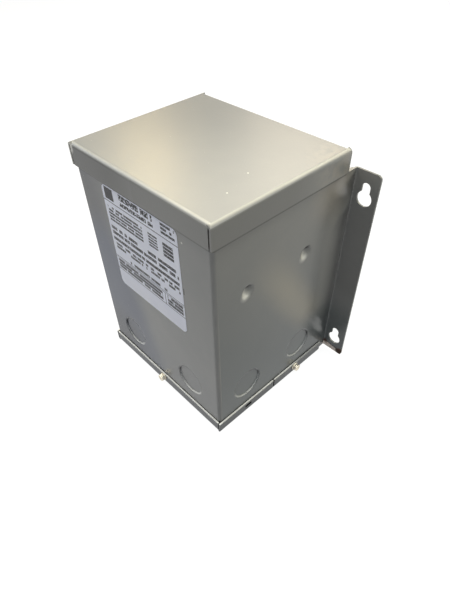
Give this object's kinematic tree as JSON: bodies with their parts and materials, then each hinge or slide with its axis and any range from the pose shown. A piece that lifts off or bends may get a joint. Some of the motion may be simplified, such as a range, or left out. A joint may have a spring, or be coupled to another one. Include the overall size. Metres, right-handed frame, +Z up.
{
  "type": "buck boost transformer",
  "caption": "Wall-mounted potted dry-type transformer in a folded grey sheet-steel case with keyhole flanges, knockouts, a data label and a removable bottom cover.",
  "frame": {"origin": "middle of the whole part's outline, on the surface under its bottom covers", "axes": "+Z up towards the top cover, +Y back towards the wall, +X to the right seen from the front"},
  "size_m": [0.195, 0.1498, 0.2139],
  "materials": {
    "grey_enamel": "semi-gloss baked enamel",
    "zinc_screw": "zinc plated, slightly yellow",
    "green_screw": "green dyed zinc",
    "label_film": "satin printed film",
    "lamination_steel": "varnished silicon steel sheet",
    "plain_steel": "zinc plated",
    "former_board": "pressboard",
    "magnet_wire": "enamelled copper",
    "insulation_paper": "impregnated paper",
    "compound": "silica filled resin",
    "barrier": "fibre board",
    "grommet_rubber": "matt",
    "primary_insulation": "satin",
    "secondary_insulation": "satin"
  },
  "bodies": {
    "transformer": {"case_wrap": "grey_enamel", "back_panel": "grey_enamel", "top_cover": "grey_enamel", "rear_bottom_cover": "grey_enamel", "rear_cover_screws": "zinc_screw", "data_label": "label_film", "core_e_laminations": "lamination_steel", "core_i_laminations": "lamination_steel", "core_bolts": "plain_steel", "core_washers": "plain_steel", "core_nuts": "plain_steel", "coil_former": "former_board", "inner_winding": "magnet_wire", "interwinding_insulation": "insulation_paper", "outer_winding": "magnet_wire", "coil_wrap": "insulation_paper", "potting_compound": "compound", "barrier_board": "barrier", "lead_grommets": "grommet_rubber", "primary_leads": "primary_insulation", "secondary_leads": "secondary_insulation", "ground_screw": "green_screw"},
    "bottom_cover": {"front_bottom_cover": "grey_enamel", "front_cover_screw": "zinc_screw"}
  },
  "joints": [
    {"name": "front_cover_slide", "type": "slide", "parent": "transformer", "child": "bottom_cover", "axis": [0, -1, 0], "range_m": [0, 0.06]}
  ]
}
